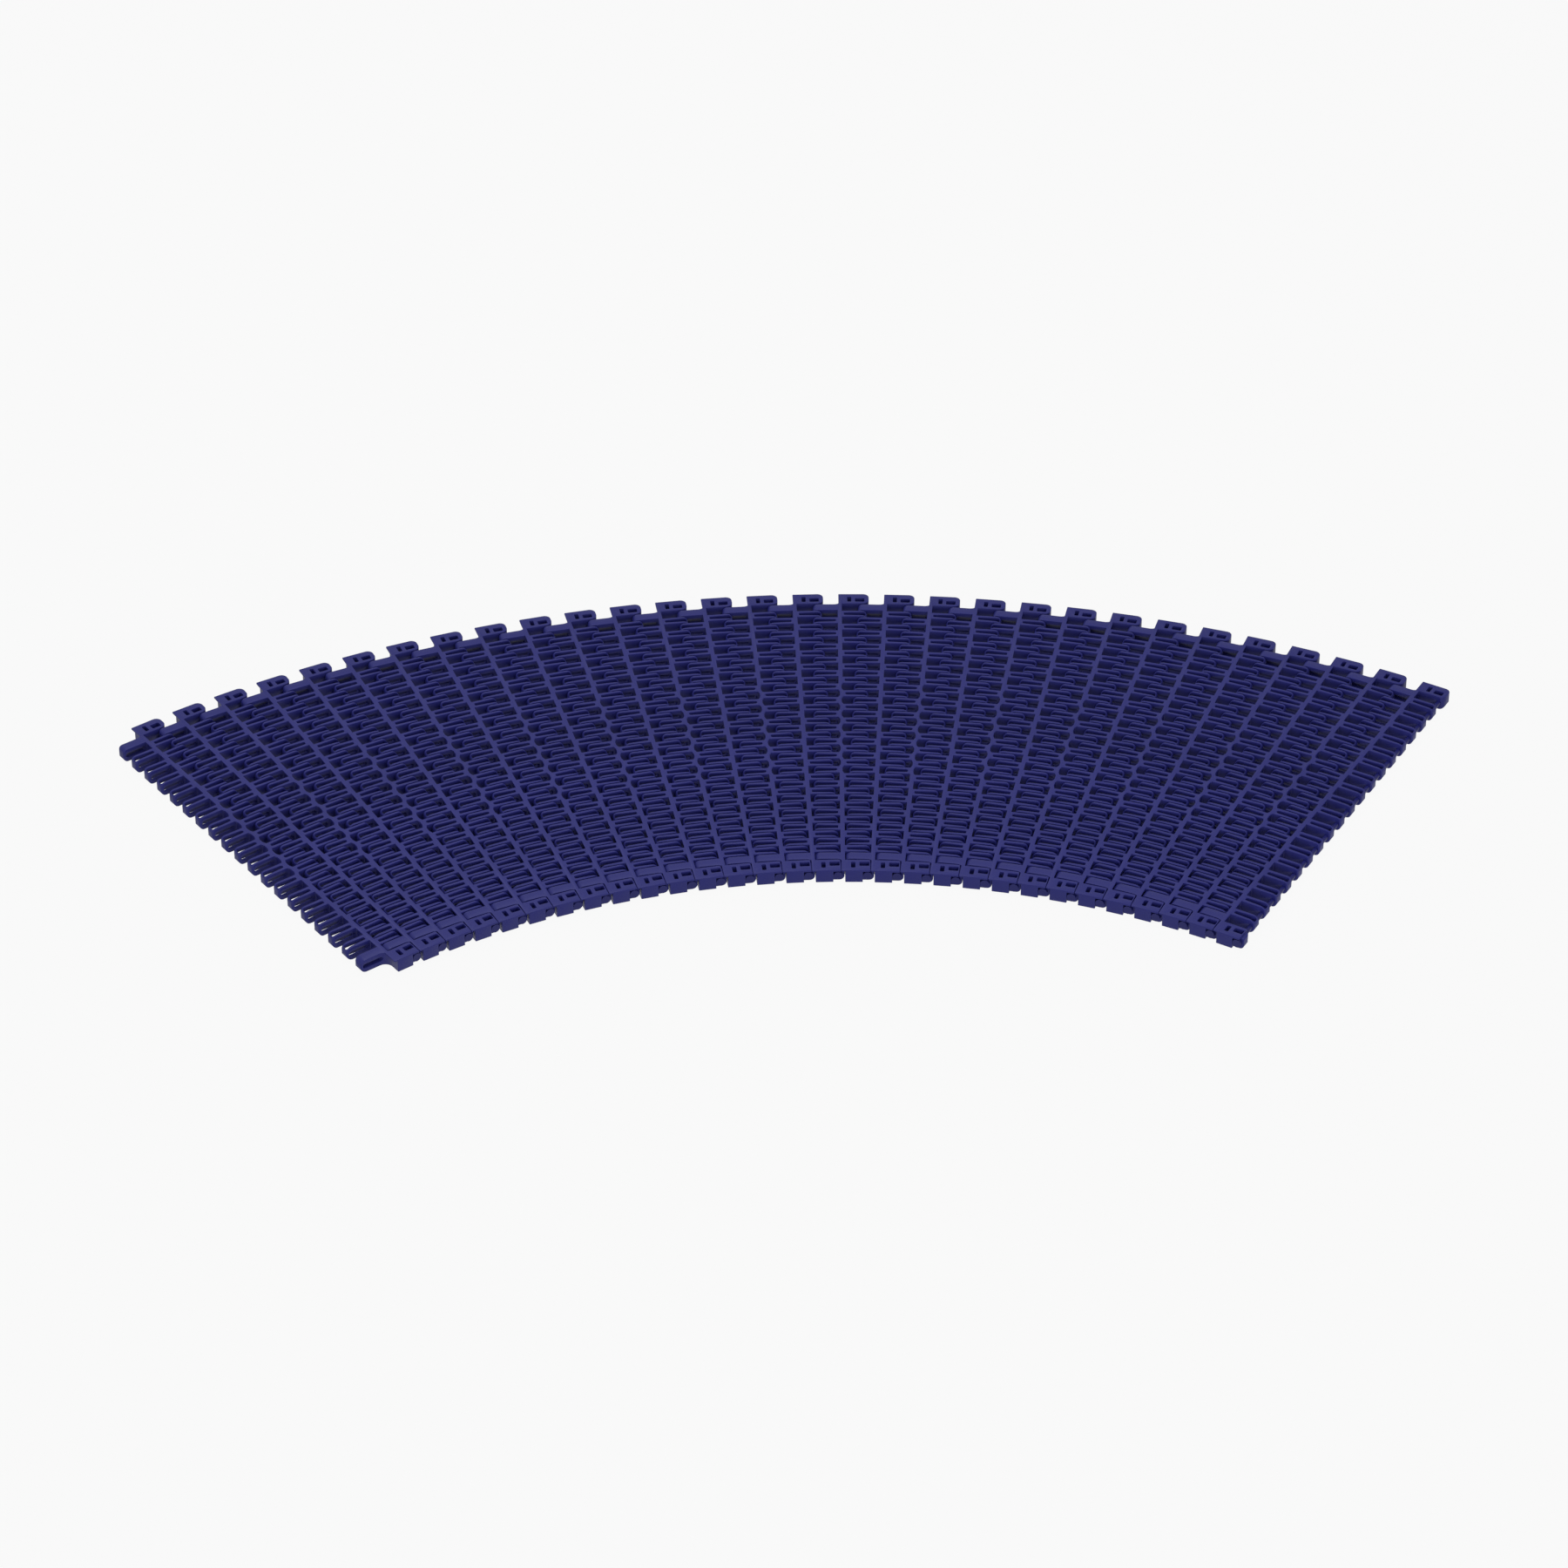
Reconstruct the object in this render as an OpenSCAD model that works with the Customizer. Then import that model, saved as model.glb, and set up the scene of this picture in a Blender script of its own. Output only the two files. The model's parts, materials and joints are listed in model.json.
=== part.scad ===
// Modular plastic belt of the side-flexing kind, laid out in a curve.
// Each row is one moulded comb: a transverse spine with fingers on both sides and an edge block at each
// end. A headed rod through the round holes of one row and the long slots of the next joins them.
// A row is drawn in its own frame: X along the travel, Y outwards from the middle of the curve, Z up.

/* [Belt] */
// Number of rows
rows = 30; // [2:1:30]
// Hinge pitch of the belt when it runs straight
pitch = 50; // [49.5:0.1:51]
// Thickness of the belt
belt_t = 15.2; // [14.6:0.1:15.6]
// Angle between two rows of the curve
row_turn = 2.316; // [1.8:0.001:2.32]
// Distance between two fingers on the same side of a row
finger_pitch = 25.4; // [25:0.1:27]
// Number of left fingers in a row
left_fingers = 19; // [9:2:19]
// Width from the last left finger's middle line to the belt's edge
edge_w = 25.4; // [24:0.1:27]

/* [Fingers] */
// Width of a finger
finger_w = 11; // [10:0.1:11.2]
// Length of a finger, from the middle of the spine to its tip
finger_reach = 30; // [29.8:0.05:30.1]
// Width of the opening in a hollow finger
loop_w = 6.5; // [5:0.1:7]
// Wall at the tip of a hollow finger
loop_tip_wall = 1.8; // [1.6:0.1:2.5]
// Distance from the middle of the spine to an opening
loop_root = 4.2; // [4:0.1:6]
// Floor left between the recess of a left finger and its slot
skin = 0.6; // [0.4:0.1:1]

/* [Spine] */
// Width of the spine at the top
spine_w = 5.2; // [4.4:0.1:5.6]
// Width of the spine at half its height, where its sides are hollow
waist_w = 1.7; // [1.5:0.1:1.8]
// Height of the straight rim above and below the hollow sides
rim_h = 0.8; // [0.5:0.1:1.5]
// Depth of the scallops between the fingers of a wavy spine
scallop = 1.9; // [1:0.1:2.2]
// Number of finger pitches from the middle over which a spine waves
wave_reach = 3.25; // [1.25:1:5.25]

/* [Edge blocks] */
// Length of a block, from the middle of the spine to its nose
block_reach = 32.2; // [31:0.1:32.3]
// Radius under the inner block's nose
under_r = 5; // [3:0.5:6]
// Right end of the inner block's top, which the next row's plate meets
top_reach = 28.2; // [27.8:0.1:28.3]
// Thickness of the top plate on the block's left
plate_t = 1.4; // [1:0.1:1.5]
// Left end of the block's top plate, from the spine's middle line
plate_left = 1.4; // [1:0.1:1.5]
// Left face of the block under its plate
block_left = 2.4; // [2:0.1:4]
// Radius of the block's corner beside the fingers
block_corner_r = 7; // [6:0.5:8]
// Radius of the outer block's corner at the belt's edge
edge_corner_r = 6.5; // [3:0.5:7]
// Radius of the hollow between a block and the finger on its left
cove_r = 9; // [6:0.5:10]
// Fillet of the notch between two blocks, at the top
notch_r = 3; // [1:0.5:4]
// Distance from the block's face beside the fingers to its two pockets
pocket_inset = 3.6; // [3:0.1:5]
// Near end of the cross pocket
cross_x = 8.4; // [6:0.1:10]
// Width of the cross pocket
cross_w = 4.5; // [3:0.1:5]
// Length of the cross pocket
cross_l = 9.8; // [8:0.1:11]
// Near end of the window above the rod
window_x = 17; // [15:0.1:18]
// Far end of the window above the rod
window_end = 27.4; // [26.5:0.1:27.6]
// Width of the window above the rod
window_w = 6.9; // [5:0.1:8]
// Floor of the window, above the underside
window_floor = 3; // [2:0.1:4]

/* [Rod] */
// Diameter of the rod
rod_d = 5; // [4.5:0.1:5.2]
// Distance of the rod from the middle of its row's spine
rod_x = 25.5; // [25.2:0.05:25.6]
// Play between the rod and the slots, on the radius
rod_play = 0.1; // [0.05:0.01:0.2]
// Play between the rod and its row's round holes, on the radius
hole_play = 0.08; // [0.03:0.01:0.1]
// Play between the rod and the end of a slot
slot_play = 0.05; // [0.02:0.01:0.1]
// Diameter of the rod's head
head_d = 9.4; // [8:0.1:9.6]
// Length of the rod's head
head_l = 3.6; // [3:0.1:5]
// Play around the rod's head
head_play = 0.3; // [0.2:0.05:0.4]
// Depth from the belt's top to the room for the rod's head
head_cover = 2.1; // [2:0.1:2.4]
// Wall that closes the outer end of the rod's hole
end_wall = 2.5; // [2:0.1:5]
// Chamfer at the rod's outer end
rod_chamfer = 0.8; // [0.4:0.1:1.5]
// Distance outwards from the middle of the outermost finger to where the rod bears on it
bearing_out = 2.8; // [0:0.1:5]

/* [Hidden] */
$fn = 64;
overlap = 1;
function two_digits(n) = str(n < 10 ? "0" : "", n);

nose_r = belt_t / 2;
rod_z = belt_t / 2;
right_fingers = left_fingers - 1;
finger_half = finger_w / 2;
finger_gap = (finger_pitch - 2 * finger_w) / 2;
// The slot's outer end holds the rod at the full pitch, and the drawn curve brings it towards the spine.
slot_out = pitch - rod_x;
bearing_y = (rod_x * cos(row_turn) + slot_out) / sin(row_turn);
mid_y = bearing_y - bearing_out - (left_fingers - 1) / 2 * finger_pitch;
function left_y(n) = mid_y + (n - (left_fingers - 1) / 2) * finger_pitch;
function right_y(n) = mid_y + (n - (right_fingers - 1) / 2) * finger_pitch;
slot_in = (left_y(0) - finger_half) * sin(row_turn) - rod_x * cos(row_turn);

first_y = left_y(0) - finger_half;
last_y = left_y(left_fingers - 1) + finger_half;
inner_y = left_y(0) - edge_w;
outer_y = left_y(left_fingers - 1) + edge_w;
block_w = edge_w - finger_half - finger_gap;
cover_z = belt_t - head_cover;
recess_floor = rod_z + rod_d / 2 + rod_play + skin;
// Within this distance of the curve's middle the tips reach under the next spine.
tuck_y = right_y(ceil(((finger_reach + spine_w / 2) / sin(row_turn) - right_y(0)) / finger_pitch))
    + finger_half + finger_gap / 2;

// Turn of a row about the middle of the curve.
function turn(n) = (n - (rows + 1) / 2) * row_turn;
// The origin is under the middle of the belt's box, so the corners that reach furthest set the shift.
half_turn = turn(rows);
west = -finger_reach * cos(half_turn) - last_y * sin(half_turn);
corner_x = block_reach - edge_corner_r;
corner_y = outer_y - edge_corner_r;
east = corner_x * cos(half_turn) + corner_y * sin(half_turn) + edge_corner_r;
south = inner_y * cos(half_turn) - (rod_x + head_d / 2) * sin(half_turn);
inner_turn = row_turn * (1 - (rows / 2 - floor(rows / 2)) * 2) / 2;
north = corner_y * cos(inner_turn) + corner_x * sin(inner_turn) + edge_corner_r;
middle = [(west + east) / 2, (south + north) / 2];

belt_blue = [0.22, 0.22, 0.45];
rod_blue = [0.18, 0.18, 0.40];

// Puts a row's own frame where its row lies in the curve.
module in_row(n) {
    translate([-middle[0], -middle[1], 0])
        rotate([0, 0, -turn(n)])
            children();
}

// Extrudes a shape drawn in X and Z along Y.
module along_y(from, to) {
    translate([0, to, 0])
        rotate([90, 0, 0])
            linear_extrude(to - from)
                children();
}

// Corners of one finger: side 1 points right and runs outwards, -1 points left and runs inwards.
function finger(side, y) = let (root = waist_w / 4, half = side * finger_half) [
    [side * root, y - half], [side * finger_reach, y - half],
    [side * finger_reach, y + half], [side * root, y + half]
];

// Corners of the opening in a finger.
function opening(side, y) = let (half = loop_w / 2, end = finger_reach - loop_tip_wall) [
    [side * loop_root, y - half], [side * end, y - half], [side * end, y + half], [side * loop_root, y + half]
];

// The comb between the blocks: open loops on the right, fingers with a recess on the left.
module comb() {
    outline = concat(
        [[waist_w / 4, first_y]],
        [for (n = [0 : right_fingers - 1]) each finger(1, right_y(n))],
        [[waist_w / 4, last_y]],
        [for (n = [left_fingers - 1 : -1 : 0]) each finger(-1, left_y(n))]
    );
    loops = [for (n = [0 : right_fingers - 1]) each opening(1, right_y(n))];
    first = len(outline);
    difference() {
        linear_extrude(belt_t)
            polygon(
                points = concat(outline, loops),
                paths = concat(
                    [[for (i = [0 : first - 1]) i]],
                    [for (i = [0 : right_fingers - 1]) [for (j = [0 : 3]) first + 4 * i + j]]
                )
            );
        for (n = [1 : left_fingers - 2])
            translate([0, 0, recess_floor]) linear_extrude(belt_t) polygon(opening(-1, left_y(n)));
        along_y(first_y - overlap, tuck_y) tip_trim();
    }
}

// What is cut off the tips that reach under the next spine, to leave them round.
module tip_trim() {
    difference() {
        translate([-finger_reach - overlap, -overlap])
            square([2 * (finger_reach + overlap), belt_t + 2 * overlap]);
        side_view();
    }
}

// Side view of a row whose tips are round over the whole thickness.
module side_view() {
    translate([nose_r - finger_reach, -overlap])
        square([2 * (finger_reach - nose_r), belt_t + 2 * overlap]);
    translate([nose_r - finger_reach, rod_z]) circle(nose_r);
    translate([finger_reach - nose_r, rod_z]) rotate(180) circle(nose_r);
}

// Section of the spine's hollow-sided stretch, which leaves room for the round tips of the next row.
module waisted_section() {
    depth = (spine_w - waist_w) / 2;
    half_chord = rod_z - rim_h;
    hollow_r = (half_chord * half_chord + depth * depth) / (2 * depth);
    difference() {
        translate([-spine_w / 2, 0]) square([spine_w, belt_t]);
        for (turn = [0, 180])
            translate([0, rod_z]) rotate(turn) translate([waist_w / 2 + hollow_r, 0]) circle(hollow_r);
    }
}

// Spine of a row: hollow-sided near the inner edge, plain beyond it.
module spine(wavy) {
    along_y(first_y, tuck_y) waisted_section();
    difference() {
        translate([-spine_w / 2, tuck_y, 0]) cube([spine_w, last_y - tuck_y, belt_t]);
        if (wavy) scallops();
    }
}

// Scallops between the fingers of a wavy spine, on the left opposite the right fingers and so on.
module scallops() {
    half = (finger_pitch - loop_w) / 2;
    scallop_r = (half * half + scallop * scallop) / (2 * scallop);
    for (side = [-1, 1])
        for (n = [0 : (side < 0 ? right_fingers : left_fingers) - 1]) {
            y = side < 0 ? right_y(n) : left_y(n);
            if (abs(y - mid_y) < wave_reach * finger_pitch)
                translate([side * (spine_w / 2 - scallop + scallop_r), y, -overlap])
                    rotate(side < 0 ? 180 : 0)
                        cylinder(h = belt_t + 2 * overlap, r = scallop_r);
        }
}

// What is cut away to round a corner that lies at the origin and points right and down.
module corner_cut(r) {
    difference() {
        translate([-r, -overlap]) square(r + overlap);
        translate([-r, r]) circle(r);
    }
}

// Edge block: Y runs from its face beside the fingers (0) to the belt's edge.
module block(outer) {
    difference() {
        union() {
            linear_extrude(belt_t) block_plan(outer);
            translate([0, 0, belt_t - plate_t]) linear_extrude(plate_t) plate_plan();
        }
        if (!outer) along_y(-finger_gap - overlap, block_w + overlap) nose_cut();
        translate([cross_x, pocket_inset, -overlap])
            cube([cross_w, cross_l, belt_t + 2 * overlap]);
        translate([window_x, pocket_inset, window_floor])
            cube([window_end - window_x, window_w, belt_t]);
    }
}

// Side view of what is cut off the inner block: the corner under its nose, and the top that the next
// row's plate passes over.
module nose_cut() {
    translate([block_reach, 0]) corner_cut(under_r);
    translate([top_reach, cover_z - head_play]) square(block_reach);
}

// Block seen from above, with the hollow that leads from the last finger to its left face.
module block_plan(outer) {
    difference() {
        translate([block_left - cove_r, -finger_gap])
            square([block_reach - block_left + cove_r, block_w + finger_gap]);
        translate([block_left - cove_r, cove_r - finger_gap]) circle(cove_r);
        translate([block_left - 2 * cove_r, cove_r - finger_gap]) square([2 * cove_r, block_w]);
        translate([spine_w / 2, -finger_gap - overlap]) square([block_reach, finger_gap + overlap]);
        translate([block_reach, 0]) corner_cut(block_corner_r);
        if (outer) translate([block_reach, block_w]) mirror([0, 1]) corner_cut(edge_corner_r);
    }
}

// Top plate on the block's left, with the fillet of the notch.
module plate_plan() {
    difference() {
        translate([-plate_left - notch_r, -finger_gap])
            square([plate_left + notch_r + spine_w / 2 + overlap, block_w + finger_gap]);
        translate([-plate_left - notch_r, notch_r - finger_gap]) circle(notch_r);
        translate([-plate_left - 2 * notch_r, notch_r - finger_gap]) square([2 * notch_r, block_w]);
        translate([spine_w / 2, -finger_gap - overlap]) square([2 * overlap, finger_gap + overlap]);
    }
}

// Room for the rod's head under the plate at the inner edge.
module head_recess() {
    left = rod_x - head_d / 2 - head_play;
    translate([left, inner_y - overlap, -overlap])
        cube([block_reach - left + overlap, head_l + head_play + overlap, cover_z + overlap]);
}

// Long slots of the left fingers, in which the next row's rod slides as the belt turns.
module slots() {
    r = rod_d / 2 + rod_play;
    out = slot_out + slot_play;
    in = slot_in - slot_play;
    along_y(first_y - overlap, last_y + overlap)
        translate([0, rod_z]) {
            translate([-out, -r]) square([out - in, 2 * r]);
            translate([-out, 0]) circle(r);
            translate([-in, 0]) rotate(180) circle(r);
        }
}

// Round hole of the right fingers, open at the inner edge and closed at the outer one.
module rod_hole() {
    along_y(inner_y - overlap, outer_y - end_wall)
        translate([rod_x, rod_z])
            circle(rod_d / 2 + hole_play);
}

// One row; every second one has a wavy spine.
module row(n) {
    color(belt_blue)
        in_row(n)
            difference() {
                union() {
                    comb();
                    spine(n % 2 == 1);
                    translate([0, last_y + finger_gap, 0]) block(true);
                    translate([0, first_y - finger_gap, 0]) mirror([0, 1, 0]) block(false);
                }
                slots();
                rod_hole();
                head_recess();
            }
}

// Headed rod that hangs the next row on row n.
module rod(n) {
    far = outer_y - end_wall - head_play;
    r = rod_d / 2;
    color(rod_blue)
        in_row(n)
            translate([rod_x, 0, rod_z])
                rotate([-90, 0, 0])
                    rotate_extrude()
                        polygon([
                            [0, inner_y], [head_d / 2, inner_y], [head_d / 2, inner_y + head_l],
                            [r, inner_y + head_l], [r, far - rod_chamfer], [r - rod_chamfer, far], [0, far]
                        ]);
}

for (n = [1 : rows])
    row(n);
for (n = [1 : rows])
    rod(n);
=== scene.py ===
"""Modular plastic belt of the side-flexing kind: moulded comb rows on headed rods, laid out in a curve.

Every length is in metres. A row is modelled in its own frame, with X along the belt's travel, Y outwards
from the middle of the curve and Z up, and is then set down on its body.
"""

import json
import math

import bmesh
import bpy
from bpy.props import FloatProperty, FloatVectorProperty, IntProperty, PointerProperty
from mathutils import Matrix, Vector
from mathutils.geometry import tessellate_polygon

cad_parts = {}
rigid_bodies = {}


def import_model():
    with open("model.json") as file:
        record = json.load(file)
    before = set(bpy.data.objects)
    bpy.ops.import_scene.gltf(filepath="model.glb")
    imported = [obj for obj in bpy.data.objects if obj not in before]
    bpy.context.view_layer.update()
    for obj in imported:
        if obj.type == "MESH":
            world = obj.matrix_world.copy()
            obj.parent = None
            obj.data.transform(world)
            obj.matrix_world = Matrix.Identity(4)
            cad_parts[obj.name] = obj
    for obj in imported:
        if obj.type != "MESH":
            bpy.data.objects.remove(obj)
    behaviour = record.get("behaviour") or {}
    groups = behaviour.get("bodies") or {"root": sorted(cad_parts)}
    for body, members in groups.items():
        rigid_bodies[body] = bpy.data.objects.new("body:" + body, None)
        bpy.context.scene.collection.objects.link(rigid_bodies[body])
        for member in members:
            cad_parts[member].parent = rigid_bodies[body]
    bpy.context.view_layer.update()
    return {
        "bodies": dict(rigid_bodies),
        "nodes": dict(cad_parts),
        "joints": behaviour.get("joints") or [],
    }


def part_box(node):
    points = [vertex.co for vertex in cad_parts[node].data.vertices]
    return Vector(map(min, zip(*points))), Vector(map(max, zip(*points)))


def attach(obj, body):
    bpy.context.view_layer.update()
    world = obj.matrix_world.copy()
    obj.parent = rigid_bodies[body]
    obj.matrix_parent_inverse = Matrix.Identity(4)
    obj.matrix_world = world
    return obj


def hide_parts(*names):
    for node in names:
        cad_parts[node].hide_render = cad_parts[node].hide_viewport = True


bl_info = {
    "name": "Modular Belt",
    "version": (1, 0, 0),
    "blender": (4, 5, 0),
    "location": "3D View > Sidebar > Belt",
    "description": "Builds a side-flexing modular plastic belt around its packed rows and rods",
    "category": "Add Mesh",
}

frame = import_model()

MM = 0.001
BODIES = frame["bodies"]
JOINTS = {joint["name"]: joint for joint in frame["joints"]}
ROWS = sum(name.startswith("row_") for name in BODIES)
BELT_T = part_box("row_01")[1].z
UP = Vector((0, 0, 1))

# How finely curves are drawn: steps to an arc, points round a hole, stations to a pitch of wave.
ARC_STEPS = 4
BLOCK_ARC_STEPS = 8
TIP_ARC_STEPS = 10
HOLE_POINTS = 24
WAVE_STATIONS = 16

# Cutters and joined solids reach this far past each other, so that no two faces lie in one plane.
LAP = 1 * MM
TIP_LAP = 2 * MM
COVE_LAP = 0.05 * MM

# Radii of the fingers and of their openings, seen from above.
FINGER_ROOT_R = 1.2 * MM
RIGHT_TIP_R = 1.6 * MM
LEFT_TIP_R = 2.6 * MM
OPENING_TIP_R = 1.8 * MM
OPENING_ROOT_R = 1.2 * MM

# Beside a wave an opening starts a little further out, and its root end is nearly a half circle.
WAVE_OPENING_SHIFT = 0.5 * MM
WAVE_ROOT_ROUNDNESS = 0.9

# Edge blocks: the corner at the belt's edge, and the two corners of the inner block's stepped nose.
BLOCK_EDGE_R = 0.8 * MM
NOSE_EDGE_R = 1.2 * MM
NOSE_STEP_R = 0.6 * MM

# A full half circle would leave a flat of no length between its two arcs, so it stops just short.
FULL_TIP = 0.9999
FULL_SLOT = 0.999

# Joining and rounding of the finished row.
WELD_DISTANCE = 2e-6
FLAT_ANGLE = math.radians(0.5)
EDGE_ANGLE = math.radians(40)
SHARP_ANGLE = math.radians(35)
EDGE_SEGMENTS = 2

# Moulded plastic: scales are per metre and depths in metres.
PLASTIC_IOR = 1.48
PLASTIC_SPECULAR = 0.25
CLOUD_SCALE = 9.0
SPECK_SCALE = 900.0
RUB_SCALE = 26.0
BELT_GRAIN = (1400.0, 0.00004)
ROD_GRAIN = (2200.0, 0.00002)
GRAIN_STRENGTH = 0.35
TINT = 0.14
RUB = 0.07
NOISE_SPREAD = (0.3, 0.7)

# Stage: the floor lies just under the belt.
FLOOR_HALF = 60
FLOOR_TOP = -0.6 * MM
FLOOR_FOOT = -12 * MM
FLOOR_GLOW = 0.93
FLOOR_ROUGHNESS = 0.9
SURROUNDINGS = 0.62
LAMPS = (
    ("key", (-0.6, 0.8, 3.2), 1.4, 34),
    ("fill", (0.3, -3.2, 0.7), 1.2, 26),
)
CAMERA_AZIMUTH = -0.05838
CAMERA_ELEVATION = 0.630243746
CAMERA_ROLL = -0.00172404
CAMERA_DISTANCE = 5.738
CAMERA_TARGET = Vector((-0.01146, -0.02988, BELT_T))
CAMERA_LENS = 124.88
CAMERA_SENSOR = 36
CAMERA_CLIP = 150


def row_axes(number):
    """Outward and travel directions of a row, read from the rod that it carries."""
    outward = Vector(JOINTS[f"flex_{number:02d}"]["axis"]).normalized()
    return outward, outward.cross(UP)


def curve_layout(rod_x):
    """Centre of the curve, angle between two rows, and the rods' middle radius."""
    first, last = 1, ROWS - 1
    out_a, along_a = row_axes(first)
    out_b, along_b = row_axes(last)
    rod_a = Vector(JOINTS[f"flex_{first:02d}"]["pos_m"])
    rod_b = Vector(JOINTS[f"flex_{last:02d}"]["pos_m"])
    reach_a = rod_a.dot(along_a) - rod_x
    reach_b = rod_b.dot(along_b) - rod_x
    det = along_a.x * along_b.y - along_a.y * along_b.x
    centre = Vector((
        (reach_a * along_b.y - reach_b * along_a.y) / det,
        (along_a.x * reach_b - along_b.x * reach_a) / det,
        0,
    ))
    turn = out_a.angle(out_b) / (last - first)
    return centre, turn, (rod_a - centre).dot(out_a)


def length(name, description, value, low, high):
    """A length property in metres, given in millimetres."""
    return FloatProperty(
        name=name, description=description, default=value * MM, min=low * MM, max=high * MM,
        subtype="DISTANCE", unit="LENGTH", precision=4,
    )


class BELT_PG_sizes(bpy.types.PropertyGroup):
    """Sizes of a row and its rod"""
    finger_pitch: length("Finger pitch", "Distance between two fingers on one side of a row", 25.4, 25, 27)
    finger_w: length("Finger width", "Width of a finger", 11, 9, 11.2)
    reach: length("Finger reach", "Length of a finger from the spine's middle to its tip", 30, 28, 30)
    edge_w: length("Edge width", "Width from the last left finger's middle to the belt's edge", 25.4, 24, 27)
    loop_w: length("Loop width", "Width of the opening in a finger at its tip", 6.8, 5, 7.6)
    loop_root_w: length("Loop root width", "Width of the opening in a finger at its root", 4.4, 3, 7)
    loop_root: length("Loop root", "Distance from the spine's middle to an opening", 4.3, 4, 6)
    tip_wall: length("Tip wall", "Wall between an opening and the finger's tip", 1.8, 1.5, 3)
    nose_r: length("Nose radius", "Radius of a finger's tip seen from the side", 5.6, 4, 7.6)
    rim_w: length("Spine width", "Width of the spine's top and foot", 4.6, 4, 5.6)
    web_w: length("Web width", "Width of the web between the spine's top and foot", 1.7, 1.5, 2)
    rim_t: length("Spine rim", "Thickness of the spine's top and foot at their edges", 1.2, 0.8, 2)
    rim_slope: length("Spine slope", "Height over which the top and the foot taper into the web", 2.0, 1, 4)
    wave: length("Wave", "Sideways swing of a wavy spine", 1.9, 0.5, 2.1)
    rod_x: length("Rod offset", "Distance of the rod from its row's spine", 25.5, 25.2, 25.6)
    rod_d: length("Rod diameter", "Diameter of the rod", 5, 4, 6)
    head_d: length("Head diameter", "Diameter of the rod's head", 9.4, 7, 9.6)
    head_l: length("Head length", "Length of the rod's head", 3.6, 2, 5)
    head_cover: length("Head cover", "Depth from the belt's top to the room for the rod's head", 2.1, 2, 2.4)
    slot_out: length("Slot end", "Rod's place in a slot when the belt is pulled straight", 24.55, 24, 26)
    slot_in: length("Slot start", "Rod's place in a slot at the inside of the curve", 5.64, 5, 9)
    rod_play: length("Rod play", "Play between the rod and the slots, on the radius", 0.1, 0.05, 0.3)
    hole_play: length("Hole play", "Play between the rod and the round holes, on the radius", 0.08, 0.03, 0.2)
    head_play: length("Head play", "Play around the rod's head", 0.3, 0.2, 0.5)
    end_wall: length("End wall", "Wall that closes the outer end of the rod's hole", 2.5, 1, 5)
    block_reach: length("Block reach", "Length of an edge block, from the spine to its nose", 32.2, 31, 32.3)
    top_reach: length("Inner top", "Right end of the inner block's top", 28.2, 27.8, 28.3)
    under_r: length("Nose radius below", "Radius of a block's nose at the underside", 5, 3, 6)
    block_left: length("Block left", "Left face of an edge block under its plate", 2.4, 2, 4)
    plate_left: length("Plate left", "Left end of an edge block's plate", 1.4, 1, 1.5)
    plate_t: length("Plate thickness", "Thickness of an edge block's plate on its left", 1.4, 1, 1.6)
    block_corner_r: length("Block corner", "Radius of an edge block's corner beside the fingers", 7, 3, 8)
    edge_corner_r: length("Edge corner", "Radius of the outer block's corner at the belt's edge", 6.5, 3, 7)
    cove_r: length("Block hollow", "Radius of the hollow between a block and the next finger", 9, 6, 10)
    notch_r: length("Notch fillet", "Fillet of the notch between two plates", 2.8, 1, 4)
    pocket_inset: length("Pocket inset", "Distance of the pockets from the block's inward face", 3.6, 3, 5)
    cross_x: length("Cross pocket", "Near end of the cross pocket", 8.4, 6, 10)
    cross_w: length("Cross pocket width", "Width of the cross pocket", 4.5, 3, 5)
    cross_l: length("Cross pocket length", "Length of the cross pocket", 9.8, 8, 11)
    window_x: length("Window", "Near end of the window above the rod", 17, 15, 18)
    window_end: length("Window end", "Far end of the window above the rod", 27.4, 26, 27.6)
    window_w: length("Window width", "Width of the window above the rod", 6.9, 5, 8)
    window_floor: length("Window floor", "Floor of the window, above the underside", 3, 1, 5)
    pocket_r: length("Pocket corners", "Radius of the corners of both pockets", 1.2, 0.5, 2)
    edge_r: length("Edge rounding", "Rounding of the moulded edges", 0.2, 0.1, 0.6)
    wave_reach: FloatProperty(
        name="Wave reach", description="Finger pitches from the middle over which a spine waves",
        default=3.25, min=1.25, max=5.25,
    )
    left_fingers: IntProperty(
        name="Left fingers", description="Number of slotted fingers in a row", default=19, min=9, max=19,
    )


class BELT_PG_finish(bpy.types.PropertyGroup):
    """Colours and roughness of the belt and its floor"""
    belt: FloatVectorProperty(
        name="Belt", description="Colour of the moulded rows", subtype="COLOR", size=3,
        default=(0.019, 0.021, 0.160), min=0, max=1,
    )
    # Rod colour: the belt's own blue painted darker, as painted shade for the rods, which lie deep in the
    # shaded gaps between the rows
    rod: FloatVectorProperty(
        name="Rod", description="Colour of the rods", subtype="COLOR", size=3,
        default=(0.014, 0.015, 0.120), min=0, max=1,
    )
    floor: FloatVectorProperty(
        name="Floor", description="Colour of the floor", subtype="COLOR", size=3,
        default=(0.25, 0.25, 0.25), min=0, max=1,
    )
    belt_roughness: FloatProperty(
        name="Belt roughness", description="Roughness of the moulded rows", default=0.46, min=0, max=1,
    )
    rod_roughness: FloatProperty(
        name="Rod roughness", description="Roughness of the rods", default=0.34, min=0, max=1,
    )


# ---------------------------------------------------------------- outlines and solids

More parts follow.
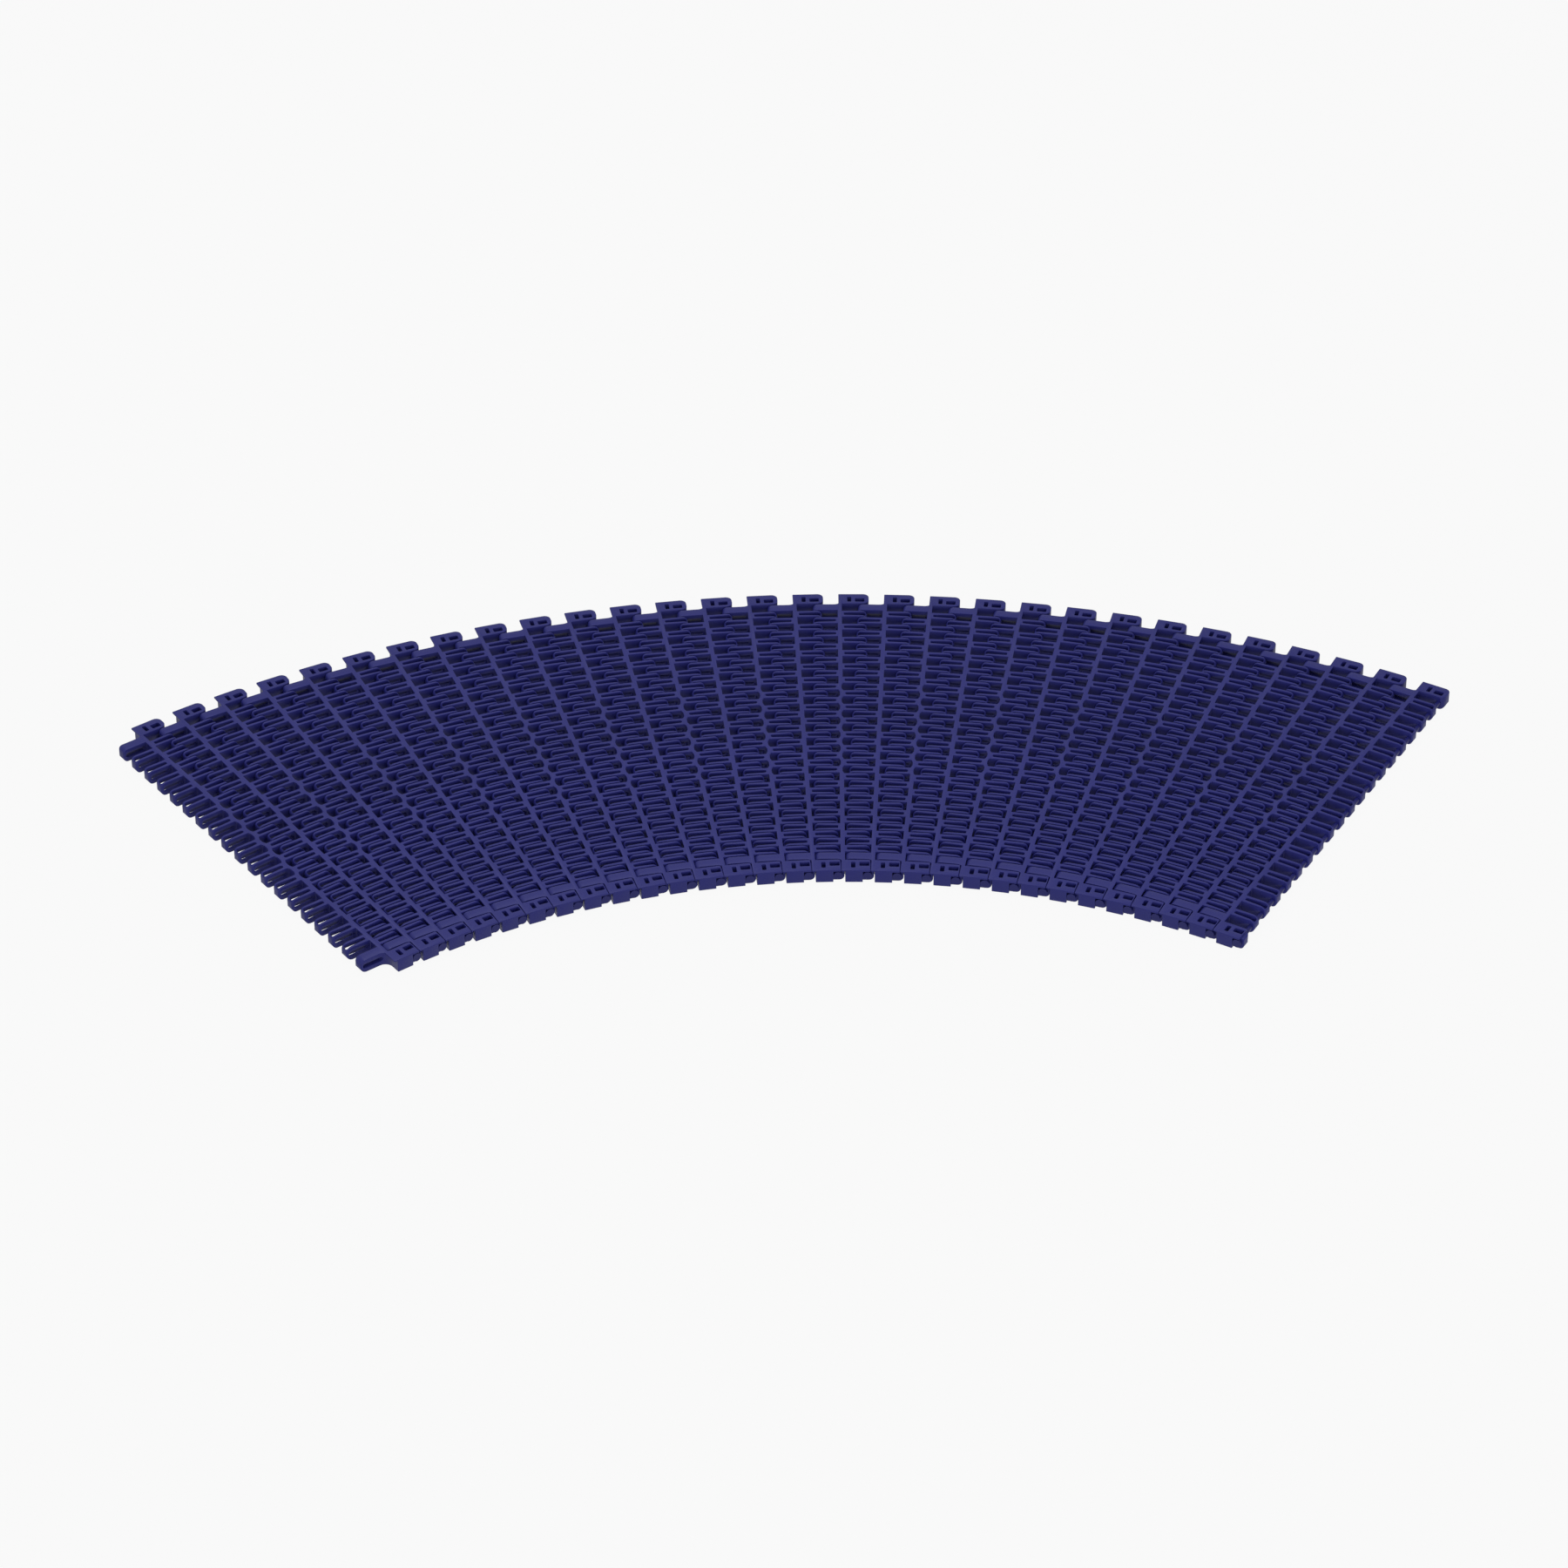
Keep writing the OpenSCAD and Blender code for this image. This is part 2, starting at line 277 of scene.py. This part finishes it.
def rounded(corners, steps=ARC_STEPS):
    """Closed outline through (x, y, radius) corners, each corner with a radius drawn as an arc."""
    outline = []
    for i, (x, y, radius) in enumerate(corners):
        here = Vector((x, y))
        if radius <= 0:
            outline.append(here)
            continue
        before = (Vector(corners[i - 1][:2]) - here).normalized()
        after = (Vector(corners[(i + 1) % len(corners)][:2]) - here).normalized()
        half = before.angle(after) / 2
        centre = here + (before + after).normalized() * (radius / math.sin(half))
        start = here + before * (radius / math.tan(half)) - centre
        sweep = start.angle_signed(here + after * (radius / math.tan(half)) - centre)
        for k in range(steps + 1):
            outline.append(centre + Matrix.Rotation(-sweep * k / steps, 2) @ start)
    return outline


def solid_mesh(name, faces_of):
    """New object whose mesh faces_of(bm) fills in, with its normals outwards."""
    bm = bmesh.new()
    faces_of(bm)
    bmesh.ops.recalc_face_normals(bm, faces=bm.faces)
    mesh = bpy.data.meshes.new(name)
    bm.to_mesh(mesh)
    bm.free()
    obj = bpy.data.objects.new(name, mesh)
    bpy.context.scene.collection.objects.link(obj)
    return obj


def extruded(name, outlines, low, high, axis="Z"):
    """Solid between two planes from an outline and its holes, drawn in XY, or in XZ for axis Y."""
    def place(point, level):
        return (point.x, point.y, level) if axis == "Z" else (point.x, level, point.y)

    def fill(bm):
        flat = [point.to_3d() for outline in outlines for point in outline]
        triangles = tessellate_polygon([[p.to_3d() for p in outline] for outline in outlines])
        rings = [[bm.verts.new(place(p, level)) for p in flat] for level in (low, high)]
        for ring in rings:
            for a, b, c in triangles:
                bm.faces.new((ring[a], ring[b], ring[c]))
        start = 0
        for outline in outlines:
            count = len(outline)
            for i in range(count):
                a, b = start + i, start + (i + 1) % count
                bm.faces.new((rings[0][a], rings[0][b], rings[1][b], rings[1][a]))
            start += count

    return solid_mesh(name, fill)


def apply_modifiers(obj):
    """Gives an object the mesh that its modifiers make, and takes them off."""
    evaluated = obj.evaluated_get(bpy.context.evaluated_depsgraph_get())
    mesh = bpy.data.meshes.new_from_object(evaluated)
    obj.modifiers.clear()
    obj.data = mesh


def combined(target, tool, operation):
    """Applies one boolean step to target and deletes the tool."""
    step = target.modifiers.new("step", "BOOLEAN")
    step.operation = operation
    step.solver = "MANIFOLD"
    step.object = tool
    apply_modifiers(target)
    bpy.data.objects.remove(tool)
    if not target.data.polygons:
        raise RuntimeError(f"{target.name}: the {operation.lower()} step left nothing")


# ---------------------------------------------------------------- one row

class RowPlan:
    """Sizes of one row in its own frame: X along the travel, Y outwards from the curve's centre."""

    def __init__(self, sizes, mid_y):
        self.s = sizes
        self.mid_y = mid_y
        self.half = sizes.finger_w / 2
        self.left = [mid_y + (n - (sizes.left_fingers - 1) / 2) * sizes.finger_pitch
                     for n in range(sizes.left_fingers)]
        self.right = [y + sizes.finger_pitch / 2 for y in self.left[:-1]]
        self.gap = (sizes.finger_pitch - 2 * sizes.finger_w) / 2
        self.first_y = self.left[0] - self.half
        self.last_y = self.left[-1] + self.half
        self.inner_y = self.left[0] - sizes.edge_w
        self.outer_y = self.left[-1] + sizes.edge_w
        self.tuck_y = self.right[1] + self.half + self.gap / 2

    def swing(self, y, wavy):
        """Sideways offset of the spine at y."""
        reach = self.s.wave_reach * self.s.finger_pitch
        if not wavy or abs(y - self.mid_y) >= reach:
            return 0.0
        return -self.s.wave * math.cos(2 * math.pi * (y - self.mid_y) / self.s.finger_pitch)


def finger_corners(plan, side, y, tip_r):
    """Corners of one finger: side 1 points right and runs outwards, -1 points left and runs inwards."""
    root, tip = side * plan.s.web_w / 2, side * plan.s.reach
    start, end = y - side * plan.half, y + side * plan.half
    return [
        (root, start, FINGER_ROOT_R), (tip, start, tip_r),
        (tip, end, tip_r), (root, end, FINGER_ROOT_R),
    ]


def opening_outline(plan, side, y, wavy):
    """Outline of a finger's opening, narrower at its root; beside a wave its root end is rounder."""
    s = plan.s
    half, root_half, end = s.loop_w / 2, s.loop_root_w / 2, s.reach - s.tip_wall
    waving = abs(plan.swing(y, wavy)) > 0
    root_r = root_half * WAVE_ROOT_ROUNDNESS if waving else OPENING_ROOT_R
    root = s.loop_root + (WAVE_OPENING_SHIFT if waving else 0)
    return rounded([
        (side * root, y - root_half, root_r), (side * end, y - half, OPENING_TIP_R),
        (side * end, y + half, OPENING_TIP_R), (side * root, y + root_half, root_r),
    ])


def comb(plan, wavy):
    """Fingers and web of a row, before its tips are rounded."""
    web = plan.s.web_w / 2
    right = [c for y in plan.right for c in finger_corners(plan, 1, y, RIGHT_TIP_R)]
    left = [c for y in reversed(plan.left) for c in finger_corners(plan, -1, y, LEFT_TIP_R)]
    left[0] = (web, plan.last_y, 0)
    left[-1] = (web, plan.first_y, 0)
    loops = [opening_outline(plan, 1, y, wavy) for y in plan.right]
    loops += [opening_outline(plan, -1, y, wavy) for y in plan.left[1:-1]]
    return extruded("comb", [rounded(right + left)] + loops, 0, BELT_T)


def side_outline(reach, radius):
    """A row seen from the side, with its ends rounded at the top and the bottom."""
    return rounded([
        (-reach, 0, radius), (reach, 0, radius), (reach, BELT_T, radius), (-reach, BELT_T, radius),
    ], steps=TIP_ARC_STEPS)


def spine(plan, wavy):
    """Spine of a row: a top and a foot that taper into a web, swung from side to side if wavy."""
    s = plan.s
    rim, web, t, slope = s.rim_w / 2, s.web_w / 2, s.rim_t, s.rim_t + s.rim_slope
    section = [(rim, 0), (rim, t), (web, slope), (web, BELT_T - slope), (rim, BELT_T - t), (rim, BELT_T)]
    section += [(-x, z) for x, z in reversed(section)]
    reach = s.wave_reach * s.finger_pitch
    count = int(2 * s.wave_reach * WAVE_STATIONS)
    stations = [plan.first_y]
    if wavy:
        stations += [plan.mid_y + reach * (2 * i / count - 1) for i in range(count + 1)]
    stations += [plan.last_y]

    def sweep(bm):
        rings = []
        for y in stations:
            dx = plan.swing(y, wavy)
            rings.append([bm.verts.new((x + dx, y, z)) for x, z in section])
        for one, two in zip(rings, rings[1:]):
            for i in range(len(section)):
                j = (i + 1) % len(section)
                bm.faces.new((one[i], one[j], two[j], two[i]))
        bm.faces.new(rings[0])
        bm.faces.new(rings[-1])

    return solid_mesh("spine", sweep)


def block_outlines(plan, side):
    """Outlines of an edge block and of its thinner top plate, at the outer (1) or inner (-1) edge."""
    s = plan.s
    last_finger = plan.last_y if side > 0 else plan.first_y
    rim, reach, width = s.rim_w / 2, s.block_reach, s.edge_w - plan.half - plan.gap
    left, cove, plate, notch = s.block_left, s.cove_r, -s.plate_left, s.notch_r
    far_r = s.edge_corner_r if side > 0 else 0
    block = [
        (rim, -plan.gap - LAP, 0), (rim, 0, 0), (reach, 0, s.block_corner_r), (reach, width, far_r),
        (left, width, BLOCK_EDGE_R), (left, -plan.gap, cove),
        (left - cove - COVE_LAP, -plan.gap, 0), (left - cove - COVE_LAP, -plan.gap - LAP, 0),
    ]
    top = [
        (rim, -plan.gap - LAP, 0), (rim, LAP / 2, 0), (2 * rim, LAP / 2, 0), (2 * rim, width, 0),
        (plate, width, BLOCK_EDGE_R), (plate, -plan.gap, notch),
        (plate - notch - COVE_LAP, -plan.gap, 0), (plate - notch - COVE_LAP, -plan.gap - LAP, 0),
    ]

    def across(corners):
        return [Vector((p.x, last_finger + side * (plan.gap + p.y)))
                for p in rounded(corners, steps=BLOCK_ARC_STEPS)]

    return across(block), across(top)


def block_side(plan, side):
    """An edge block seen from the side: the inner one's top stops short of its nose."""
    s = plan.s
    low = [(-s.reach, 0, 0), (s.block_reach, 0, s.under_r)]
    nose = BELT_T - s.head_cover - s.head_play
    high = [(s.block_reach, BELT_T, 0)]
    if side < 0:
        high = [
            (s.block_reach, nose, NOSE_EDGE_R), (s.top_reach, nose, NOSE_STEP_R),
            (s.top_reach, BELT_T, 0),
        ]
    return rounded(low + high + [(-s.reach, BELT_T, 0)], steps=BLOCK_ARC_STEPS)


def edge_block(plan, side):
    """Edge block with its top plate, before its pockets are cut."""
    outline, top = block_outlines(plan, side)
    block = extruded("block", [outline], 0, BELT_T)
    low, high = min(point.y for point in outline), max(point.y for point in outline)
    profile = extruded("profile", [block_side(plan, side)], low - LAP, high + LAP, axis="Y")
    combined(block, profile, "INTERSECT")
    combined(block, extruded("plate", [top], BELT_T - plan.s.plate_t, BELT_T), "UNION")
    return block


def rounded_rectangle(low_x, low_y, high_x, high_y, radius):
    """Outline of a rectangle with rounded corners."""
    return rounded([
        (low_x, low_y, radius), (high_x, low_y, radius), (high_x, high_y, radius), (low_x, high_y, radius),
    ])


def pocket_cutters(plan, side):
    """Cross pocket, right through, and the window above the rod, which has a floor."""
    s = plan.s
    last_finger = plan.last_y if side > 0 else plan.first_y
    face = last_finger + side * (plan.gap + s.pocket_inset)
    pockets = (
        (s.cross_x, s.cross_x + s.cross_w, s.cross_l, -LAP),
        (s.window_x, s.window_end, s.window_w, s.window_floor),
    )
    for low_x, high_x, depth, floor in pockets:
        low_y, high_y = sorted((face, face + side * depth))
        outline = rounded_rectangle(low_x, low_y, high_x, high_y, s.pocket_r)
        yield extruded("pocket", [outline], floor, BELT_T + LAP)


def rod_cutters(plan):
    """Long slot of the left fingers, round hole of the right ones, and the recess for the rod's head."""
    s, middle = plan.s, BELT_T / 2
    slot_r = s.rod_d / 2 + s.rod_play
    slot = rounded_rectangle(-s.slot_out - slot_r, middle - slot_r, -s.slot_in + slot_r, middle + slot_r,
                             slot_r * FULL_SLOT)
    yield extruded("slot", [slot], plan.first_y - LAP, plan.last_y + LAP, axis="Y")
    hole_r = s.rod_d / 2 + s.hole_play
    angles = [2 * math.pi * k / HOLE_POINTS for k in range(HOLE_POINTS)]
    hole = [Vector((s.rod_x + hole_r * math.cos(a), middle + hole_r * math.sin(a))) for a in angles]
    yield extruded("hole", [hole], plan.inner_y - LAP, plan.outer_y - s.end_wall, axis="Y")
    left, right, top = s.rod_x - s.head_d / 2 - s.head_play, s.block_reach + LAP, BELT_T - s.head_cover
    recess = [Vector(p) for p in ((left, -LAP), (right, -LAP), (right, top), (left, top))]
    yield extruded("recess", [recess], plan.inner_y - LAP, plan.inner_y + s.head_l + s.head_play, axis="Y")


def side_envelope(plan):
    """Room that a row's tips leave: rounder near the inner edge, where they reach under the next spine."""
    tuck_tip = side_outline(plan.s.reach, BELT_T / 2 * FULL_TIP)
    outer_tip = side_outline(plan.s.reach, plan.s.nose_r)
    inner = extruded("inner", [tuck_tip], plan.inner_y - TIP_LAP, plan.tuck_y, axis="Y")
    outer = extruded("outer", [outer_tip], plan.tuck_y, plan.outer_y + TIP_LAP, axis="Y")
    combined(inner, outer, "UNION")
    return inner


def soften(row, radius):
    """Joins the flat faces, rounds the moulded edges and shades the rest smooth."""
    bm = bmesh.new()
    bm.from_mesh(row.data)
    bmesh.ops.remove_doubles(bm, verts=bm.verts, dist=WELD_DISTANCE)
    bmesh.ops.dissolve_limit(bm, angle_limit=FLAT_ANGLE, verts=bm.verts, edges=bm.edges)
    bm.to_mesh(row.data)
    bm.free()
    bevel = row.modifiers.new("rounding", "BEVEL")
    bevel.width = radius
    bevel.segments = EDGE_SEGMENTS
    bevel.limit_method = "ANGLE"
    bevel.angle_limit = EDGE_ANGLE
    bevel.use_clamp_overlap = True
    apply_modifiers(row)
    row.data.shade_smooth()
    row.data.set_sharp_from_angle(angle=SHARP_ANGLE)


def row_mesh(plan, wavy):
    """Finished mesh of one row, with its origin at the middle of its spine."""
    row = comb(plan, wavy)
    combined(row, side_envelope(plan), "INTERSECT")
    combined(row, spine(plan, wavy), "UNION")
    for side in (-1, 1):
        combined(row, edge_block(plan, side), "UNION")
    for cutter in rod_cutters(plan):
        combined(row, cutter, "DIFFERENCE")
    for side in (-1, 1):
        for cutter in pocket_cutters(plan, side):
            combined(row, cutter, "DIFFERENCE")
    soften(row, plan.s.edge_r)
    mesh = row.data
    mesh.transform(Matrix.Translation((0, -plan.mid_y, 0)))
    bpy.data.objects.remove(row)
    mesh.name = "wavy_row" if wavy else "straight_row"
    return mesh


# ---------------------------------------------------------------- materials

def new_material(name):
    """Empty node material with its principled shader and output."""
    material = bpy.data.materials.new(name)
    material.use_nodes = True
    return material, material.node_tree.nodes, material.node_tree.links


def noise(nodes, links, scale, detail=3.0, roughness=0.5):
    """Noise in the piece's own space, so that it stays with the piece when it moves."""
    coords = nodes.new("ShaderNodeTexCoord")
    texture = nodes.new("ShaderNodeTexNoise")
    texture.inputs["Scale"].default_value = scale
    texture.inputs["Detail"].default_value = detail
    texture.inputs["Roughness"].default_value = roughness
    links.new(coords.outputs["Object"], texture.inputs["Vector"])
    return texture


def ranged(nodes, links, texture, low, high):
    """Spreads a noise's middle values over a range."""
    spread = nodes.new("ShaderNodeMapRange")
    from_low, from_high = NOISE_SPREAD
    for socket, value in (("From Min", from_low), ("From Max", from_high), ("To Min", low), ("To Max", high)):
        spread.inputs[socket].default_value = value
    links.new(texture.outputs["Fac"], spread.inputs["Value"])
    return spread.outputs["Result"]


def calculated(nodes, links, operation, first, second):
    """Output of a math node on two values, each of them a socket or a number."""
    node = nodes.new("ShaderNodeMath")
    node.operation = operation
    for socket, value in zip(node.inputs, (first, second)):
        if isinstance(value, bpy.types.NodeSocket):
            links.new(value, socket)
        else:
            socket.default_value = value
    return node.outputs["Value"]


def moulded_plastic(name, colour, roughness, grain):
    """Moulded plastic: soft clouding of its colour, a fine grain, and patches rubbed smoother."""
    material, nodes, links = new_material(name)
    shader = nodes["Principled BSDF"]
    shader.inputs["IOR"].default_value = PLASTIC_IOR
    shader.inputs["Specular IOR Level"].default_value = PLASTIC_SPECULAR
    cloud = noise(nodes, links, CLOUD_SCALE, 4.0)
    speck = noise(nodes, links, SPECK_SCALE, 2.0)
    mix = nodes.new("ShaderNodeMix")
    mix.data_type = "RGBA"
    mix.inputs["A"].default_value = (*[c * (1 - TINT) for c in colour], 1)
    mix.inputs["B"].default_value = (*[min(1, c * (1 + TINT)) for c in colour], 1)
    clouding = ranged(nodes, links, cloud, 0.1, 0.7)
    specks = ranged(nodes, links, speck, 0.0, 0.2)
    links.new(calculated(nodes, links, "ADD", clouding, specks), mix.inputs["Factor"])
    links.new(mix.outputs["Result"], shader.inputs["Base Color"])
    rub = noise(nodes, links, RUB_SCALE, 5.0, 0.6)
    links.new(ranged(nodes, links, rub, roughness - RUB, roughness + RUB), shader.inputs["Roughness"])
    grain_scale, grain_depth = grain
    grain = noise(nodes, links, grain_scale, 3.0, 0.6)
    bump = nodes.new("ShaderNodeBump")
    bump.inputs["Strength"].default_value = GRAIN_STRENGTH
    bump.inputs["Distance"].default_value = grain_depth
    links.new(grain.outputs["Fac"], bump.inputs["Height"])
    links.new(bump.outputs["Normal"], shader.inputs["Normal"])
    return material


def stage_material(name, colour, glow):
    """Matt stage surface that is seen mostly as plain light, so that it stays pale."""
    material, nodes, links = new_material(name)
    shader = nodes["Principled BSDF"]
    shader.inputs["Base Color"].default_value = (*colour, 1)
    shader.inputs["Roughness"].default_value = FLOOR_ROUGHNESS
    light = nodes.new("ShaderNodeEmission")
    light.inputs["Color"].default_value = (1, 1, 1, 1)
    path = nodes.new("ShaderNodeLightPath").outputs
    seen = calculated(nodes, links, "MAXIMUM", path["Is Camera Ray"], path["Is Glossy Ray"])
    seen = calculated(nodes, links, "MAXIMUM", seen, path["Is Transmission Ray"])
    mixed = nodes.new("ShaderNodeMixShader")
    links.new(calculated(nodes, links, "MULTIPLY", seen, glow), mixed.inputs["Fac"])
    links.new(shader.outputs["BSDF"], mixed.inputs[1])
    links.new(light.outputs["Emission"], mixed.inputs[2])
    links.new(mixed.outputs["Shader"], nodes["Material Output"].inputs["Surface"])
    return material


# ---------------------------------------------------------------- stage

def add_floor(scene):
    """Wide matt floor just under the belt."""
    corners = ((-FLOOR_HALF, -FLOOR_HALF), (FLOOR_HALF, -FLOOR_HALF), (FLOOR_HALF, FLOOR_HALF),
               (-FLOOR_HALF, FLOOR_HALF))
    floor = extruded("floor", [[Vector(corner) for corner in corners]], FLOOR_FOOT, FLOOR_TOP)
    floor.data.materials.append(stage_material("floor", scene.belt_finish.floor, FLOOR_GLOW))


def add_world(scene):
    """Even white surroundings."""
    world = bpy.data.worlds.new("surroundings")
    world.use_nodes = True
    background = world.node_tree.nodes["Background"]
    background.inputs["Color"].default_value = (1, 1, 1, 1)
    background.inputs["Strength"].default_value = SURROUNDINGS
    scene.world = world


def add_lamp(scene, name, place, size, watts):
    """Soft square lamp that points at the belt."""
    lamp = bpy.data.lights.new(name, "AREA")
    lamp.energy, lamp.size = watts, size
    obj = bpy.data.objects.new(name, lamp)
    scene.collection.objects.link(obj)
    obj.location = place
    obj.rotation_euler = (-Vector(place)).to_track_quat("-Z", "Y").to_euler()


def add_camera(scene):
    """Camera that looks down on the curve from outside its inner edge."""
    azimuth, elevation, roll = CAMERA_AZIMUTH, CAMERA_ELEVATION, CAMERA_ROLL
    back = Vector((
        math.sin(azimuth) * math.cos(elevation), -math.cos(azimuth) * math.cos(elevation),
        math.sin(elevation),
    ))
    right = Vector((math.cos(azimuth), math.sin(azimuth), 0))
    up = back.cross(right)
    lean, level = math.sin(roll), math.cos(roll)
    right, up = level * right + lean * up, level * up - lean * right
    camera = bpy.data.objects.new("camera", bpy.data.cameras.new("camera"))
    scene.collection.objects.link(camera)
    place = CAMERA_TARGET + CAMERA_DISTANCE * back
    camera.matrix_world = Matrix((
        (right.x, up.x, back.x, place.x), (right.y, up.y, back.y, place.y),
        (right.z, up.z, back.z, place.z), (0, 0, 0, 1),
    ))
    camera.data.sensor_width = CAMERA_SENSOR
    camera.data.lens = CAMERA_LENS
    camera.data.clip_end = CAMERA_CLIP
    scene.camera = camera


# ---------------------------------------------------------------- operators

def place_rows(context, wavy):
    """Builds the wavy (odd) or straight (even) rows and seats each on its body."""
    sizes, finish = context.scene.belt_sizes, context.scene.belt_finish
    centre, turn, mid_y = curve_layout(sizes.rod_x)
    mesh = row_mesh(RowPlan(sizes, mid_y), wavy)
    mesh.materials.clear()
    name = "belt_plastic_wavy" if wavy else "belt_plastic_straight"
    mesh.materials.append(moulded_plastic(name, finish.belt, finish.belt_roughness, BELT_GRAIN))
    first_outward = row_axes(1)[0]
    for number in range(1 if wavy else 2, ROWS + 1, 2):
        outward = Matrix.Rotation(-turn * (number - 1), 3, "Z") @ first_outward
        along = outward.cross(UP)
        row = bpy.data.objects.new(f"belt_row_{number:02d}", mesh)
        context.scene.collection.objects.link(row)
        place = centre + outward * mid_y
        row.matrix_world = Matrix((
            (along.x, outward.x, 0, place.x), (along.y, outward.y, 0, place.y), (0, 0, 1, 0), (0, 0, 0, 1),
        ))
        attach(row, f"row_{number:02d}")
        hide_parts(f"row_{number:02d}")


class BELT_OT_wavy_rows(bpy.types.Operator):
    """Build the rows whose spine waves over its middle stretch"""
    bl_idname = "belt.wavy_rows"
    bl_label = "Wavy Rows"

    def execute(self, context):
        place_rows(context, wavy=True)
        return {"FINISHED"}


class BELT_OT_straight_rows(bpy.types.Operator):
    """Build the rows whose spine is straight"""
    bl_idname = "belt.straight_rows"
    bl_label = "Straight Rows"

    def execute(self, context):
        place_rows(context, wavy=False)
        return {"FINISHED"}


class BELT_OT_rods(bpy.types.Operator):
    """Give the headed rods their plastic"""
    bl_idname = "belt.rods"
    bl_label = "Rods"

    def execute(self, context):
        finish = context.scene.belt_finish
        rods = [node for name, node in frame["nodes"].items() if name.startswith("rod_")]
        if not rods:
            raise RuntimeError("the frame has no rods")
        # The rods get the belt's blue painted darker: painted shade for the gaps that they lie in
        plastic = moulded_plastic("moulded_rods", finish.rod, finish.rod_roughness, ROD_GRAIN)
        for rod in rods:
            rod.data.materials.clear()
            rod.data.materials.append(plastic)
        return {"FINISHED"}


class BELT_OT_stage(bpy.types.Operator):
    """Add the floor, the soft light and the camera"""
    bl_idname = "belt.stage"
    bl_label = "Stage"

    def execute(self, context):
        scene = context.scene
        add_floor(scene)
        add_world(scene)
        for name, place, size, watts in LAMPS:
            add_lamp(scene, name, place, size, watts)
        add_camera(scene)
        scene.view_settings.view_transform = "Standard"
        return {"FINISHED"}


class BELT_PT_panel(bpy.types.Panel):
    """Lists the belt's sizes, finishes and building steps"""
    bl_idname = "BELT_PT_panel"
    bl_label = "Modular Belt"
    bl_space_type = "VIEW_3D"
    bl_region_type = "UI"
    bl_category = "Belt"

    def draw(self, context):
        for operator in OPERATORS:
            self.layout.operator(operator.bl_idname)
        for group in (context.scene.belt_sizes, context.scene.belt_finish):
            column = self.layout.column()
            for name in group.__annotations__:
                column.prop(group, name)


OPERATORS = (BELT_OT_wavy_rows, BELT_OT_straight_rows, BELT_OT_rods, BELT_OT_stage)
CLASSES = (BELT_PG_sizes, BELT_PG_finish, *OPERATORS, BELT_PT_panel)


def register():
    for cls in CLASSES:
        bpy.utils.register_class(cls)
    bpy.types.Scene.belt_sizes = PointerProperty(type=BELT_PG_sizes)
    bpy.types.Scene.belt_finish = PointerProperty(type=BELT_PG_finish)


def unregister():
    del bpy.types.Scene.belt_finish
    del bpy.types.Scene.belt_sizes
    for cls in reversed(CLASSES):
        bpy.utils.unregister_class(cls)


def main():
    """Builds the belt and its stage."""
    register()
    bpy.ops.belt.wavy_rows()
    bpy.ops.belt.straight_rows()
    bpy.ops.belt.rods()
    bpy.ops.belt.stage()


if __name__ == "__main__":
    main()
